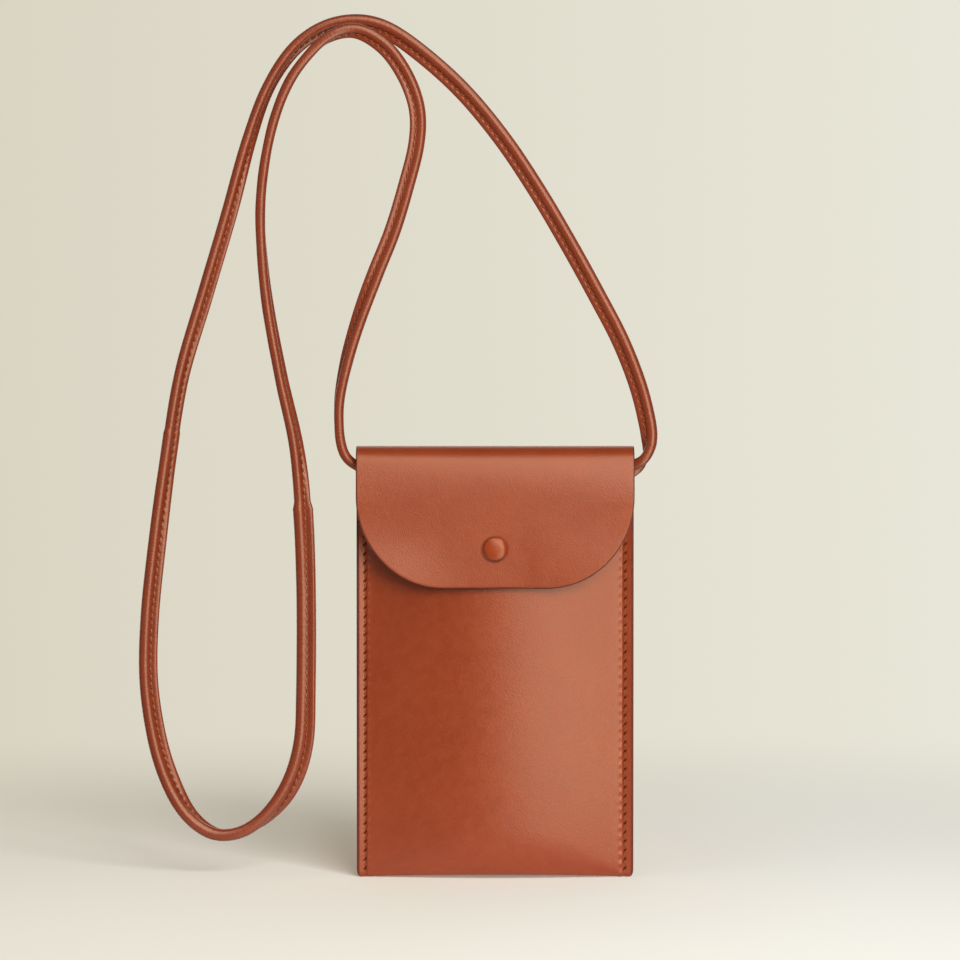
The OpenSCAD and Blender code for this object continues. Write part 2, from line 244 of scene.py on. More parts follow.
# The same calf pared thin and drawn tight round a cord: glossier, with fine wrinkles across it
def strapLeather(look):
    material, tree = newMaterial("pared calf over cord")
    place = addNode(tree, "ShaderNodeUVMap", uv_map="UVMap")
    cloud = addNode(tree, "ShaderNodeTexNoise", {"Vector": place, "Scale": 1000 / look["cloud"], "Detail": 3.0})
    drawn = addNode(tree, "ShaderNodeMapping", {
        "Vector": place, "Scale": (1000 / look["wrinkleAlong"], 1000 / look["wrinkleAround"], 1.0),
    })
    wrinkle = addNode(tree, "ShaderNodeTexNoise", {"Vector": drawn, "Scale": 1.0, "Detail": 3.0, "Distortion": 0.4})
    pore = addNode(tree, "ShaderNodeTexVoronoi", {"Vector": place, "Scale": 1000 / look["pore"]})
    tone = addNode(tree, "ShaderNodeMix", {0: cloud, 6: look["deep"], 7: look["mid"]}, data_type="RGBA")
    # painted shade: the hide is darker in the dips of the wrinkles
    dip = addNode(tree, "ShaderNodeMapRange", {
        "Value": wrinkle, "From Min": 0.3, "From Max": 0.5, "To Min": 0.3, "To Max": 0.0,
    })
    tone = addNode(tree, "ShaderNodeMix", {0: dip, 6: tone.outputs[2], 7: look["dip"]}, data_type="RGBA")
    shine = addNode(tree, "ShaderNodeMapRange", {
        "Value": wrinkle, "From Min": 0.3, "From Max": 0.7, "To Min": 0.34, "To Max": 0.25,
    })
    bump = addNode(tree, "ShaderNodeBump", {"Height": wrinkle, "Strength": 0.5, "Distance": 0.16 * mm})
    bump = addNode(tree, "ShaderNodeBump", {
        "Height": pore, "Strength": 0.3, "Distance": 0.06 * mm, "Normal": bump,
    })
    shader = addNode(tree, "ShaderNodeBsdfPrincipled", {
        "Base Color": tone.outputs[2], "Roughness": shine, "Specular IOR Level": 1.05, "Normal": bump,
    })
    addNode(tree, "ShaderNodeOutputMaterial", {"Surface": shader})
    return material


threadLook = {"yarn": "#A65936", "shade": "#7A371F", "plies": 3.0, "lay": 1.6}


# Waxed linen thread of three plies: the twist shows as slanted ridges, the wax as a dull shine
def waxedThread(look):
    material, tree = newMaterial("waxed linen thread")
    ply = addNode(tree, "ShaderNodeAttribute", attribute_name="ply")
    x, y, z = addNode(tree, "ShaderNodeSeparateXYZ", {0: ply.outputs["Vector"]}).outputs
    turn = addNode(tree, "ShaderNodeMath", {0: z, 1: y}, operation="ARCTAN2")
    run = addNode(tree, "ShaderNodeMath", {
        0: x, 1: 2 * math.pi / (look["lay"] * mm), 2: turn,
    }, operation="MULTIPLY_ADD")
    wave = addNode(tree, "ShaderNodeMath", {0: run, 1: look["plies"]}, operation="MULTIPLY")
    ridge = addNode(tree, "ShaderNodeMath", {0: wave}, operation="SINE")
    # painted shade in the grooves between the plies
    share = addNode(tree, "ShaderNodeMapRange", {"Value": ridge, "From Min": -1.0, "From Max": 0.4})
    tone = addNode(tree, "ShaderNodeMix", {0: share, 6: look["shade"], 7: look["yarn"]}, data_type="RGBA")
    bump = addNode(tree, "ShaderNodeBump", {"Height": ridge, "Strength": 0.5, "Distance": 0.06 * mm})
    shader = addNode(tree, "ShaderNodeBsdfPrincipled", {
        "Base Color": tone.outputs[2], "Roughness": 0.55, "Normal": bump,
    })
    addNode(tree, "ShaderNodeOutputMaterial", {"Surface": shader})
    return material


enamelLook = {"deep": "#A4411C", "pale": "#AE4921", "peel": 1.4}


# Baked enamel on the brass cap, in the colour of the hide: smooth, with a soft orange-peel and clear gloss
def bakedEnamel(look):
    material, tree = newMaterial("baked enamel")
    place = addNode(tree, "ShaderNodeTexCoord").outputs["Object"]
    peel = addNode(tree, "ShaderNodeTexNoise", {"Vector": place, "Scale": 1000 / look["peel"], "Detail": 2.0})
    tone = addNode(tree, "ShaderNodeMix", {0: peel, 6: look["deep"], 7: look["pale"]}, data_type="RGBA")
    bump = addNode(tree, "ShaderNodeBump", {"Height": peel, "Strength": 0.15, "Distance": 0.06 * mm})
    shader = addNode(tree, "ShaderNodeBsdfPrincipled", {
        "Base Color": tone.outputs[2], "Roughness": 0.27, "Specular IOR Level": 0.8, "Normal": bump,
    })
    addNode(tree, "ShaderNodeOutputMaterial", {"Surface": shader})
    return material


# Drawn and tumbled metal: satin, with fine random scratches that break up its highlight
def tumbledMetal(name, pale, dull, roughness):
    material, tree = newMaterial(name)
    place = addNode(tree, "ShaderNodeTexCoord").outputs["Object"]
    drawn = addNode(tree, "ShaderNodeMapping", {"Vector": place, "Scale": (1.0, 1.0, 5.0)})
    scratch = addNode(tree, "ShaderNodeTexNoise", {"Vector": drawn, "Scale": 1000 / 0.9, "Detail": 4.0})
    stain = addNode(tree, "ShaderNodeTexNoise", {"Vector": place, "Scale": 1000 / 2.5, "Detail": 2.0})
    tone = addNode(tree, "ShaderNodeMix", {0: stain, 6: dull, 7: pale}, data_type="RGBA")
    shine = addNode(tree, "ShaderNodeMapRange", {
        "Value": scratch, "To Min": roughness - 0.08, "To Max": roughness + 0.12,
    })
    bump = addNode(tree, "ShaderNodeBump", {"Height": scratch, "Strength": 0.2, "Distance": 0.03 * mm})
    shader = addNode(tree, "ShaderNodeBsdfPrincipled", {
        "Base Color": tone.outputs[2], "Metallic": 1.0, "Roughness": shine, "Normal": bump,
    })
    addNode(tree, "ShaderNodeOutputMaterial", {"Surface": shader})
    return material


grain = grainLeather(grainLook)
flesh = fleshLeather(fleshLook)
paint = edgePaint(edgeLook)
strapHide = strapLeather(strapGrain)
thread = waxedThread(threadLook)
enamel = bakedEnamel(enamelLook)
brass = tumbledMetal("tumbled brass", "#C9A56A", "#A98349", 0.32)
steel = tumbledMetal("drawn spring steel", "#C9CBCD", "#A7A9AC", 0.24)
print("materials are made")


def unitRows(v):
    return v / np.linalg.norm(v, axis=1)[:, None]


def runLength(points):
    return np.concatenate([[0], np.cumsum(np.linalg.norm(np.diff(points, axis=0), axis=1))])


def storeValues(mesh, name, values):
    # one number or one vector for each point
    kind, field = ("FLOAT", "value") if np.ndim(values) == 1 else ("FLOAT_VECTOR", "vector")
    layer = mesh.attributes.new(name, kind, "POINT")
    layer.data.foreach_set(field, np.asarray(values, np.float32).ravel())


def dressPiece(piece, body, slot, *nodes):
    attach(piece, body)
    if nodes:
        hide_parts(*nodes)
    return piece


strapLook = {
    "coreRadius": 2.4,
    "coreCentre": -1.6,  # the cord lies to one side of the strap's middle
    "stitchLine": 1.05,
    "stitchHeight": 0.98,
    "stitchPitch": 3.1,
    "ringsPerStitch": 6,
    "pinch": 0.38,  # how much the stitch holes pull the seam in
    "routeEase": 1.2,  # mm over which the route, and the turns of the seam, are softened
    "turnEase": 5,
    # share of the full width at points of the route: the long loop is cut from a second, wider length of hide
    "widths": [
        (0, 0.84), (27.75, 0.84), (27.85, 1.03), (37, 1.03), (39, 0.95), (42.35, 0.92), (42.4, 0.84),
        (47, 0.82), (51, 0.93), (60, 0.93), (62, 0.88), (66, 0.88),
    ],
    "flatLength": 9,  # over which the end goes from round to the flat sewn tab
    "tabShift": 1.8,
    "tabSize": (8, 3),
}
strapRoute = np.array([
    [-48, 5.2, 161.5],
    [-52, 4.4, 164.2], [-56.5, 3.4, 167], [-59.9, 3, 170.1], [-61.9, 2.6, 174.7], [-63, 2.5, 182],
    [-63, 2.5, 193.9], [-59.8, 2, 209.8], [-54.7, 2, 226.7], [-48.2, 1.5, 244.2], [-41.2, 1, 261.7],
    [-35.7, 0.5, 279.8], [-31.7, 0, 295.9], [-31.2, -0.5, 309], [-34.7, -0.5, 320.9],
    [-41.5, -1, 332.1], [-49.3, -1, 338.9], [-57.1, -1, 341.8], [-65.2, -1, 339.7], [-73, -0.5, 334],
    [-82, -0.5, 322.4], [-88.3, 0, 307.3], [-92.3, 0.5, 289.7], [-94.1, 1, 272], [-93.6, 1.5, 254.1],
    [-91.2, 2, 231.1], [-85.9, 2, 202.1], [-79.9, 2, 174.1], [-77.2, 2, 145], [-76.2, 2.5, 112],
    [-76.4, 2.5, 76], [-77.4, 2.5, 54.9], [-82.3, 3, 38.7], [-90.9, 3, 26.4], [-101.7, 3, 19],
    [-113.3, 3.5, 18.4], [-123.4, 3.5, 25.6], [-130.9, 4, 38.5], [-136.5, 4, 56.1], [-139.9, 4, 80],
    [-139.4, 4, 106], [-136.3, 4, 135.9], [-132.1, 4.5, 167.9], [-126.4, 4.5, 202.8],
    [-116.8, 5, 235.7], [-107.3, 5.5, 267.7], [-99.1, 6, 297.6], [-91.5, 6.5, 318.3],
    [-81.5, 7, 333.7], [-70.1, 7, 342.2], [-57.4, 7, 345.2], [-45, 7, 342.8], [-31.3, 6.5, 334],
    [-13.7, 6, 318.4], [2.5, 5.5, 299.1], [16.6, 5.5, 278.2], [29.8, 5, 255.9], [41.7, 4.5, 234.3],
    [50.7, 4, 216.9], [57.5, 4, 199.5], [61.2, 3.5, 185], [62.1, 3, 177], [61.2, 3, 172],
    [59.7, 3, 168.8], [56.6, 3.4, 166.4], [52, 4.4, 164],
    [48, 5.2, 161.5],
])
# which way the sewn edge looks at each point of the route, in degrees: 0 to the right of its run, 90 to the front
seamTurn = [
    180, 240, 268, 268, 267, 262, 250, 232, 214, 180, 172, 168, 165, 170, 185, 192, 200, 215, 245, 268, 270,
    268, 266, 262, 254, 242, 234, 224, 168, 158, 160, 175, 200, 235, 262, 285, 305, 335, 350, 355, 354, 346,
    322, 326, 358, 355, 320, 304, 314, 322, 332, 340, 345, 346, 346, 346, 346, 344, 342, 342, 342, 330, 300,
    245, 200, 180, 180,
]


def smoothRoute(route, parts=24):
    padded = np.vstack([route[:1], route, route[-1:]])
    t = np.linspace(0, 1, parts, endpoint=False)[:, None]
    spans = []
    for i in range(len(route) - 1):
        a, b, c, d = padded[i:i + 4]
        spans.append(0.5 * (2 * b + (c - a) * t + (2 * a - 5 * b + 4 * c - d) * t * t
                            + (3 * b - a - 3 * c + d) * t * t * t))
    index = np.concatenate([i + t[:, 0] for i in range(len(route) - 1)] + [[len(route) - 1]])
    return np.vstack(spans + [route[-1:]]), index


def softened(values, spacing, width):
    reach = int(3 * width / spacing)
    kernel = np.exp(-0.5 * (np.arange(-reach, reach + 1) * spacing / width) ** 2)
    kernel /= kernel.sum()
    return np.convolve(np.pad(values, reach, mode="edge"), kernel, mode="valid")


def strapLine(look):
    fine, index = smoothRoute(strapRoute)
    run = runLength(fine)
    count = int(round(run[-1] / (look["stitchPitch"] / look["ringsPerStitch"])))
    at = np.linspace(0, run[-1], count + 1)
    step = at[1]
    centre = np.column_stack([softened(np.interp(at, run, part), step, look["routeEase"]) for part in fine.T])
    centre[0], centre[-1] = strapRoute[0], strapRoute[-1]
    index = np.interp(at, run, index)
    turn = softened(np.interp(index, np.arange(len(seamTurn)), seamTurn), step, look["turnEase"])
    along = np.gradient(centre, axis=0)
    along[0] = along[-1] = [-1, 0, 0]
    along = unitRows(along)
    side = unitRows(np.cross(along, [0, -1, 0]))
    front = np.cross(side, along)
    a = np.radians(turn)[:, None]
    seam = np.cos(a) * side + np.sin(a) * front
    return {
        "at": at, "index": index, "centre": centre, "along": along, "seam": seam, "across": np.cross(along, seam),
    }


# Half of the section, from the sewn edge's tip round to the back of the cord
def strapSection(look):
    c, r = look["coreCentre"], look["coreRadius"]
    flange = [
        (4.0, 0), (3.97, 0.5), (3.78, 0.9), (3.4, 1.12), (2.9, 1.2), (2.2, 1.16), (1.6, 1.0), (1.05, 0.9), (0.64, 1.1),
    ]
    core = [(c + r * math.cos(math.radians(d)), r * math.sin(math.radians(d)))
            for d in (40, 56, 73, 90, 110, 131, 153, 180)]
    half = flange + core
    return np.array(half + [(u, -v) for u, v in half[-2:0:-1]])


def tabSection(count, width, thickness):
    # walks round a flat bar with rounded corners, from the middle of its one edge to the other and back
    half = (count + 2) // 2
    lap = np.linspace(0, 1, half)
    u = width / 2 * np.cos(math.pi * lap)
    v = thickness / 2 * np.sqrt(np.clip(1 - np.abs(u / (width / 2)) ** 7, 0, 1))
    return np.vstack([np.column_stack([u, v]), np.column_stack([u[-2:0:-1], -v[-2:0:-1]])])


def loftMesh(name, rings, uv=None, wall=0, fans=(0, 0), tips=None):
    # rings: steps x points x 3; both ends are closed with a fan; wall and fans hold the index of the material
    steps, sides = rings.shape[:2]
    tips = (rings[0].mean(0), rings[-1].mean(0)) if tips is None else tips
    corners = ((0, 0), (0, 1), (1, 1), (1, 0))
    i, k = np.divmod(np.arange((steps - 1) * sides), sides)
    faces = np.stack([(i + up) * sides + (k + on) % sides for up, on in corners], 1).tolist()
    tip = steps * sides
    faces += [(tip, (n + 1) % sides, n) for n in range(sides)]
    faces += [(tip + 1, tip - sides + n, tip - sides + (n + 1) % sides) for n in range(sides)]
    mesh = bpy.data.meshes.new(name)
    mesh.from_pydata((np.vstack([rings.reshape(-1, 3), *tips]) * mm).tolist(), [], faces)
    mesh.shade_smooth()
    index = np.concatenate([np.broadcast_to(wall, (steps - 1, sides)).ravel(), np.repeat(fans, sides)])
    mesh.polygons.foreach_set("material_index", index.astype(np.int32))
    if uv is not None:
        run, lap = uv
        spots = np.stack([np.stack([run[i + up], lap[k + on]], 1) for up, on in corners], 1).reshape(-1, 2)
        spots = np.vstack([spots, np.repeat([[run[0], 0.0], [run[-1], 0.0]], 3 * sides, axis=0)])
        mesh.uv_layers.new(name="UVMap").uv.foreach_set("vector", (spots * mm).ravel())
    # a loft that has come out inside out is turned
    work = bmesh.new()
    work.from_mesh(mesh)
    if work.calc_volume(signed=True) < 0:
        bmesh.ops.reverse_faces(work, faces=work.faces)
    work.to_mesh(mesh)
    work.free()
    return mesh


def makeStrap(look):
    line = strapLine(look)
    at = line["at"]
    outline = strapSection(look)
    width = np.interp(line["index"], *zip(*look["widths"]))
    flat = 1 - smooth(np.minimum(at, at[-1] - at) / look["flatLength"])
    tab = tabSection(len(outline), *look["tabSize"])
    shape = outline * width[:, None, None] * (1 - flat)[:, None, None] + tab * flat[:, None, None]
    # stitch holes pull the hide in on both sides of the seam
    phase = (at / look["stitchPitch"]) % 1 - 0.5
    pinch = hump(phase * look["stitchPitch"], 0.5) * (1 - flat)
    nearSeam = hump(outline[:, 0] - look["stitchLine"], 0.42) * (np.abs(outline[:, 1]) < 1.3)
    shape[:, :, 1] *= 1 - look["pinch"] * pinch[:, None] * nearSeam
    # the hide's thickness wanders a little
    wander = 1 + 0.018 * np.sin(at / 7.3) + 0.012 * np.sin(at / 2.9 + 1.0)
    shape[:, :, 1] *= wander[:, None]
    middle = line["centre"] + np.array([0, look["tabShift"], 0]) * flat[:, None]
    rings = middle[:, None] + shape[:, :, :1] * line["seam"][:, None] + shape[:, :, 1:] * line["across"][:, None]
    mesh = loftMesh("strapHide", rings, (at, runLength(np.vstack([outline, outline[:1]]))))
    return dressPiece(addObject("strapHide", mesh, strapHide), "pouch", "strap", "strap")


strap = makeStrap(strapLook)
print("strap is swept:", len(strap.data.polygons), "faces")


# Stitches by geometry nodes: one arched bar of thread, laid at each of a seam's points
def stitchTree():
    tree = bpy.data.node_groups.new("archedStitches", "GeometryNodeTree")
    for name, kind in (("Geometry", "Geometry"), ("width", "Float"), ("length", "Float"), ("rise", "Float"),
                       ("sink", "Float"), ("thread", "Material")):
        tree.interface.new_socket(name, in_out="INPUT", socket_type="NodeSocket" + kind)
    tree.interface.new_socket("Geometry", in_out="OUTPUT", socket_type="NodeSocketGeometry")
    given = addNode(tree, "NodeGroupInput").outputs
    ahead = addNode(tree, "ShaderNodeMath", {0: given["length"], 1: 0.5}, operation="MULTIPLY")
    back = addNode(tree, "ShaderNodeMath", {0: ahead, 1: -1.0}, operation="MULTIPLY")
    below = addNode(tree, "ShaderNodeMath", {0: given["sink"], 1: -1.0}, operation="MULTIPLY")
    above = addNode(tree, "ShaderNodeMath", {
        0: given["rise"], 1: 2.0, 2: given["sink"],
    }, operation="MULTIPLY_ADD")
    start, middle, end = (addNode(tree, "ShaderNodeCombineXYZ", place)
                          for place in ({"X": back, "Z": below}, {"Z": above}, {"X": ahead, "Z": below}))
    arch = addNode(tree, "GeometryNodeCurveQuadraticBezier", {
        "Resolution": 6, "Start": start, "Middle": middle, "End": end,
    })
    radius = addNode(tree, "ShaderNodeMath", {0: given["width"], 1: 0.5}, operation="MULTIPLY")
    ring = addNode(tree, "GeometryNodeCurvePrimitiveCircle", {"Resolution": 7, "Radius": radius})
    bar = addNode(tree, "GeometryNodeCurveToMesh", {"Curve": arch, "Profile Curve": ring, "Fill Caps": True})
    marked = addNode(tree, "GeometryNodeStoreNamedAttribute", {
        "Geometry": bar, "Name": "ply", "Value": addNode(tree, "GeometryNodeInputPosition"),
    }, data_type="FLOAT_VECTOR", domain="POINT")
    axis, normal = (addNode(tree, "GeometryNodeInputNamedAttribute", {"Name": name}, data_type="FLOAT_VECTOR")
                    for name in ("axis", "normal"))
    turned = addNode(tree, "FunctionNodeAxesToRotation", {0: axis, 1: normal}, primary_axis="X", secondary_axis="Z")
    sewn = addNode(tree, "GeometryNodeInstanceOnPoints", {
        "Points": given["Geometry"], "Instance": marked, "Rotation": turned,
    })
    real = addNode(tree, "GeometryNodeRealizeInstances", {0: sewn})
    rounded = addNode(tree, "GeometryNodeSetShadeSmooth", {0: real})
    coloured = addNode(tree, "GeometryNodeSetMaterial", {"Geometry": rounded, "Material": given["thread"]})
    addNode(tree, "NodeGroupOutput", {0: coloured})
    return tree


archedStitches = stitchTree()


def sewStitches(name, stitches, look):
    # stitches holds the place, the direction and the outer side of each one
    points, axes, normals = (np.array(part) for part in zip(*stitches))
    holder = bpy.data.meshes.new(name + "Points")
    holder.from_pydata((points * mm).tolist(), [], [])
    storeValues(holder, "axis", axes)
    storeValues(holder, "normal", normals)
    seed = addObject(name + "Points", holder)
    modifier = seed.modifiers.new("stitches", "NODES")
    modifier.node_group = archedStitches
    for item in archedStitches.interface.items_tree:
        if item.in_out == "INPUT" and item.name != "Geometry":
            modifier[item.identifier] = thread if item.name == "thread" else look[item.name] * mm
    bpy.context.view_layer.update()
    graph = bpy.context.evaluated_depsgraph_get()
    mesh = bpy.data.meshes.new_from_object(seed.evaluated_get(graph))
    mesh.name = name
    seed.modifiers.remove(modifier)
    bpy.data.objects.remove(seed)
    return addObject(name, mesh)


strapStitchLook = {"width": 0.62, "length": 2.5, "rise": 0.28, "sink": 0.35, "slant": 16}


def sewStrap(look, route):
    line = strapLine(route)
    at, pitch = line["at"], route["stitchPitch"]
    marks = np.arange(pitch * 4, at[-1] - pitch * 4, pitch)
    middle, *ways = (np.column_stack([np.interp(marks, at, part) for part in line[key].T])
                     for key in ("centre", "along", "seam", "across"))
    run, toSeam, up = (unitRows(way) for way in ways)
    width = np.interp(np.interp(marks, at, line["index"]), *zip(*route["widths"]))[:, None]
    slant = math.radians(look["slant"])
    stitches = []
    for face in (1, -1):
        place = middle + (toSeam * route["stitchLine"] + up * face * route["stitchHeight"]) * width
        stitches += zip(place, run * math.cos(slant) + toSeam * math.sin(slant) * face, up * face)
    return dressPiece(sewStitches("strapStitches", stitches, look), "pouch", "thread")


strapStitches = sewStrap(strapStitchLook, strapLook)

tabLook = {
    "outer": 48,
    "inner": 33,
    "front": 5.5,
    "back": 8.5,
    "low": 157.5,
    "high": 165.5,
    "roundOff": 2.4,  # over which the inner end is cut round
    "sides": 32,
}
hands = ((-1, "left"), (1, "right"))


# The strap's flat end: both layers pressed together, cut round at the inner end
def makeTab(name, side, look, node):
    sides = look["sides"]
    straight = look["outer"] - look["inner"] - look["roundOff"]
    ease = np.sin(np.linspace(0.15, 1, 9) * math.pi / 2)
    steps = np.concatenate([np.linspace(0, straight, 14), straight + look["roundOff"] * ease])
    late = np.clip((steps - straight) / look["roundOff"], 0, 1)
    wide = 1 - 0.45 * (1 - np.sqrt(1 - late ** 2))
    thick = 1 - 0.5 * np.clip(late - 0.8, 0, None) / 0.2
    section = tabSection(sides, look["high"] - look["low"], look["back"] - look["front"])
    rings = np.stack([
        np.outer(side * (look["outer"] - steps), np.ones(sides)),
        (look["front"] + look["back"]) / 2 + np.outer(thick, section[:, 1]),
        (look["low"] + look["high"]) / 2 + np.outer(wide, section[:, 0]),
    ], -1)
    cutSides = np.isin(np.arange(sides), [0, sides // 2 - 1, sides // 2, sides - 1])
    mesh = loftMesh(name, rings, (steps, np.linspace(0, 22, sides + 1)), cutSides)
    return dressPiece(addObject(name, mesh, strapHide, paint), "pouch", "strap", node)


for side, hand in hands:
    makeTab(hand + "StrapTab", side, tabLook, hand + "_strap_end")
print("strap tabs are made")

hideLook = {
    "thickness": 1.8,
    "halfWidth": 56,
    "frontY": 7.6,  # the middle of the hide, where the front lies on the back along the seams
    "backY": 9.4,
    "runs": (133, 27, 7, 4, 157),  # of hide: down the front, round its foot, underneath, round and up the back
    "depth": 10,  # how far the front stands off the back inside
    "swellWidth": 51.45,
    "ridge": 0.8,  # share of the half width over which the two slopes of the front meet
    "mouth": 157.2,
    "split": 163.5,  # on the back, where the pocket's hide and the flap's hide meet unseen
    "footArch": 1.5,  # how far the middle of the fold under the pocket is drawn up
    "pillow": 0.2,
    "cornerRadius": 2,
    "seam": 52.5,
    "firstHole": 3.6,
    "pitch": 3.65,
    "holes": 42,
    "slitAngle": 55,
    "slitSize": (0.92, 0.26),  # half of its length and width
    "slitDepth": 0.7,
    "valley": 0.55,
    "flange": 2.6,  # from the stitches out to where the flange is level again
    # height of the puckers, their distance from the stitches and their width, each on the left and on the right
    "pucker": ((0.2, 0.42), (1.2, 1.7), (0.8, 1.2)),
    "rounding": 1.15,  # mm of the painted edge that is seen from the front
}
flapLook = {
    "drop": 118,  # height of the flap's lower edge
    "cornerWide": 35,
    "cornerHigh": 37,
    "frontY": -7.8,
    "crownZ": 174.1,
    "crownRadius": 8.05,  # tight over the crown, then a wide brow down to the flat of the flap
    "browAngle": 15,
    "browFade": 2.0,  # how fast the brow's slope fades out on the way down
    "browBow": 0.9,  # how far the ends of the brow lie behind its middle
    "bowSpan": (167, 12, 7),  # the height of that bow and its reach below and above
    "spreadFrom": 6.0,  # mm before the brow's end, where the rows begin to spread over the flat
    "curls": (2.2, 1.0),  # how far the free corners stand off the front, left and right
    "curlSpan": (154, 34),  # the height where that begins, and how far down it grows
    "capZ": 134,
    "rounding": 0.5,
}
# the stitch holes of the strap's ends: the outermost one, the steps inwards, the heights of the two rows
endLook = {"firstX": 45.5, "pitch": 3.333, "rows": (159.26, 163.74), "stitches": 3, "groove": 0.14}
# half round of a painted edge, as (share of its rounding, height); the outer side is rounded more than the inner
edgeProfile = [
    (-1.0, 0.9), (-0.62, 0.84), (-0.28, 0.66), (-0.06, 0.36), (0.0, -0.05), (0.0, -0.6), (-0.1, -0.84), (-0.3, -0.9),
]


def flatSheet(columns, rows, openEnds, rounding, refine, inset=0):
    # a closed flat sheet in bmesh, with run s, width x and height h as its axes; openEnds says which end is a cut
    # edge and which one meets another sheet
    work = bmesh.new()
    nx, ns = len(columns), len(rows[0])
    loop = ([(0, j) for j in range(ns)] + [(i, ns - 1) for i in range(1, nx)]
            + [(nx - 1, j) for j in range(ns - 2, -1, -1)] + [(i, 0) for i in range(nx - 2, 0, -1)])
    spot = np.array([[rows[i][j], columns[i]] for i, j in loop], float)
    ahead = np.roll(spot, -1, axis=0) - spot
    outNormal = unitRows(np.column_stack([ahead[:, 1], -ahead[:, 0]]))
    push = outNormal + np.roll(outNormal, 1, axis=0)
    push = 2 * push / (push ** 2).sum(1)[:, None]
    meets = [(j == 0 and not openEnds[0]) or (j == ns - 1 and not openEnds[1]) for i, j in loop]
    for k in np.flatnonzero(meets):
        push[k] = 0, {0: -1, nx - 1: 1}.get(loop[k][0], 0)
    order = {cell: k for k, cell in enumerate(loop)}
    rings = [[work.verts.new((*(place + way * out * rounding), high)) for place, way in zip(spot, push)]
             for out, high in edgeProfile]
    # the inner grid stays clear of the round edge
    near, far = (inset if isCut else 0 for isCut in openEnds)
    innerS = [row[0] + near + (row - row[0]) * (1 - (near + far) / (row[-1] - row[0])) for row in rows]
    innerX = columns * (1 - inset / columns[-1])
    for ring, high, index in ((rings[0], edgeProfile[0][1], 0), (rings[-1], edgeProfile[-1][1], 2)):
        grid = [[ring[order[i, j]] if (i, j) in order else work.verts.new((innerS[i][j], innerX[i], high))
                 for j in range(ns)] for i in range(nx)]
        for i in range(nx - 1):
            for j in range(ns - 1):
                quad = [grid[i][j], grid[i][j + 1], grid[i + 1][j + 1], grid[i + 1][j]]
                work.faces.new(quad[::-1] if index else quad).material_index = index
    following = [(k, (k + 1) % len(loop)) for k in range(len(loop))]
    for upper, lower in zip(rings, rings[1:]):
        for k, n in following:
            work.faces.new([upper[k], lower[k], lower[n], upper[n]]).material_index = 1
    # only the sheets' own cut edges are round; where two sheets meet, the corner is kept sharp
    for k, n in following:
        if meets[k] and meets[n]:
            for ring in (rings[0], rings[-1]):
                work.edges.get((ring[k], ring[n])).smooth = False
    for cuts, wanted in refine:
        chosen = {}
        for face in work.faces:
            s, x = face.calc_center_median()[:2]
            if face.material_index == 0 and wanted(x, s):
                chosen.update(dict.fromkeys(face.edges))
        bmesh.ops.subdivide_edges(work, edges=list(chosen), cuts=cuts, use_grid_fill=True)
    return work


def shapeSheet(name, work, middle, relief):
    # carries the flat sheet onto its curved middle surface and presses the relief into its grain side; the painted
    # shade that the relief gives is stored on the grain side
    mesh = bpy.data.meshes.new(name)
    work.to_mesh(mesh)
    work.free()
    flat = np.empty(len(mesh.vertices) * 3)
    mesh.vertices.foreach_get("co", flat)
    s, x, h = flat.reshape(-1, 3).T
    step = 0.02
    place = middle(x, s)
    alongRun = middle(x, s + step) - middle(x, s - step)
    alongWidth = middle(x + step, s) - middle(x - step, s)
    alongWidth[:, 2] *= 1 - smooth((np.abs(x) - hideLook["seam"]) / 1.0)  # the round corners are a cut, not a bend
    normal = unitRows(np.cross(alongRun, alongWidth))
    depth, shade = relief(place, normal)
    depth *= smooth((h + 0.2) / 1.1)
    final = place + normal * (h + depth)[:, None]
    mesh.vertices.foreach_set("co", (final * mm).ravel())
    loopVertex = np.empty(len(mesh.loops), np.int32)
    mesh.loops.foreach_get("vertex_index", loopVertex)
    spots = np.column_stack([x, s])[loopVertex] * mm
    mesh.uv_layers.new(name="UVMap").uv.foreach_set("vector", spots.ravel())
    storeValues(mesh, "holeShade", np.where(h > 0.5, shade, 0))
    mesh.shade_smooth()
    return mesh, final


def markEdgeGap(mesh, final, rim):
    # distance of every point to the nearest cut edge, in mm, for the burnished tone beside it
    rim = np.vstack(rim)
    tree = KDTree(len(rim))
    for k, point in enumerate(rim):
        tree.insert(point, k)
    tree.balance()
    storeValues(mesh, "edgeGap", [tree.find(point)[2] for point in final])


def slitRelief(x, z, look):
    # slanted slits that the thread goes through, each with the small pucker beside it
    k = np.clip(np.round((z - look["firstHole"]) / look["pitch"]), 0, look["holes"] - 1)
    dz = z - look["firstHole"] - k * look["pitch"]
    dx = np.sign(x) * (np.abs(x) - look["seam"])
    a = math.radians(look["slitAngle"])
    along = dx * math.cos(a) + dz * math.sin(a)
    across = -dx * math.sin(a) + dz * math.cos(a)
    length, width = look["slitSize"]
    slit = np.exp(-(along / length) ** 4 - (across / width) ** 2)
    inward = look["seam"] - np.abs(x)
    # the right seam was drawn tighter than the left one, so its puckers reach further in
    height, centre, wide = (np.where(x > 0, right, left) for left, right in look["pucker"])
    pucker = height * hump(inward - centre, wide) * hump(np.abs(dz) - look["pitch"] / 2, 1.0)
    # the second value is painted shade inside each slit
    return -look["slitDepth"] * slit + pucker, np.clip(1.3 * slit, 0, 1)


